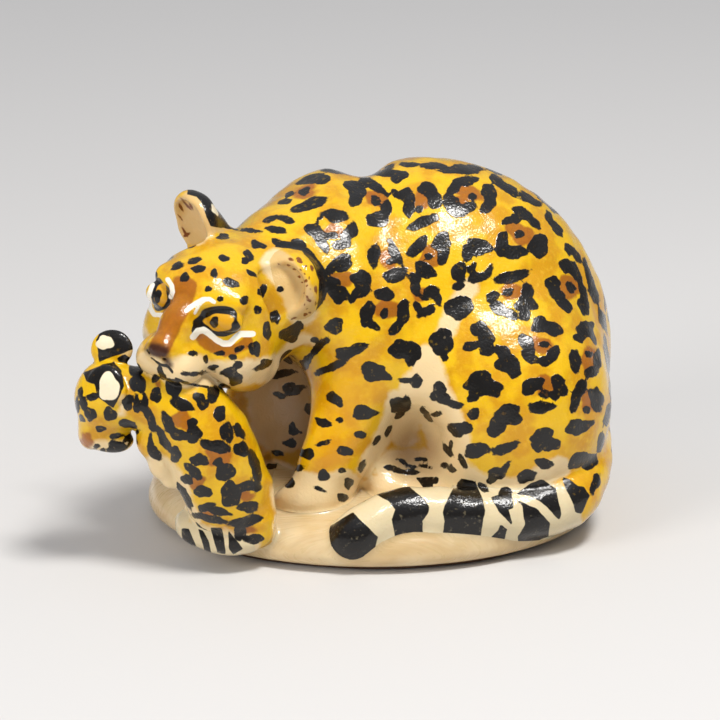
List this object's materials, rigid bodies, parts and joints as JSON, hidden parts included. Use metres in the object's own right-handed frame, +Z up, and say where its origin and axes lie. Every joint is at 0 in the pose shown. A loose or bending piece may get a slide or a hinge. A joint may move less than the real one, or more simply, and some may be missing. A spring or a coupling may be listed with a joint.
{
  "type": "carved big cat figurine",
  "caption": "Hand-painted carved figurine of a crouching spotted big cat holding its cub by the scruff, on an oval ivory-nut plinth with a flat underside.",
  "frame": {"origin": "middle of the flat underside of the plinth", "axes": "+Z up, +X along the figure's length from the cub to the cat's rump, -Y towards the side that shows the cat's face"},
  "size_m": [0.0542, 0.0397, 0.0371],
  "materials": {
    "spotted_coat": "gloss",
    "bare_ivory": "satin",
    "banded_tail": "gloss",
    "ear_paint": "gloss",
    "nut_skin": "matte",
    "dowel_wood": "matte"
  },
  "bodies": {
    "root": {"nut_skin": "nut_skin", "base": "bare_ivory", "torso": "spotted_coat", "left_haunch": "spotted_coat", "right_haunch": "spotted_coat", "left_hind_foot": "spotted_coat", "right_hind_foot": "spotted_coat", "left_foreleg": "spotted_coat", "right_foreleg": "spotted_coat", "tail": "banded_tail", "head": "spotted_coat", "lower_jaw": "spotted_coat", "left_ear": "ear_paint", "right_ear": "ear_paint", "cub_body": "spotted_coat", "cub_head": "spotted_coat", "cub_left_ear": "ear_paint", "cub_right_ear": "ear_paint", "cub_left_foreleg": "spotted_coat", "cub_right_foreleg": "spotted_coat", "cub_left_hind_leg": "spotted_coat", "cub_right_hind_leg": "spotted_coat", "cub_tail": "banded_tail", "dowel_pins": "dowel_wood"}
  },
  "joints": []
}
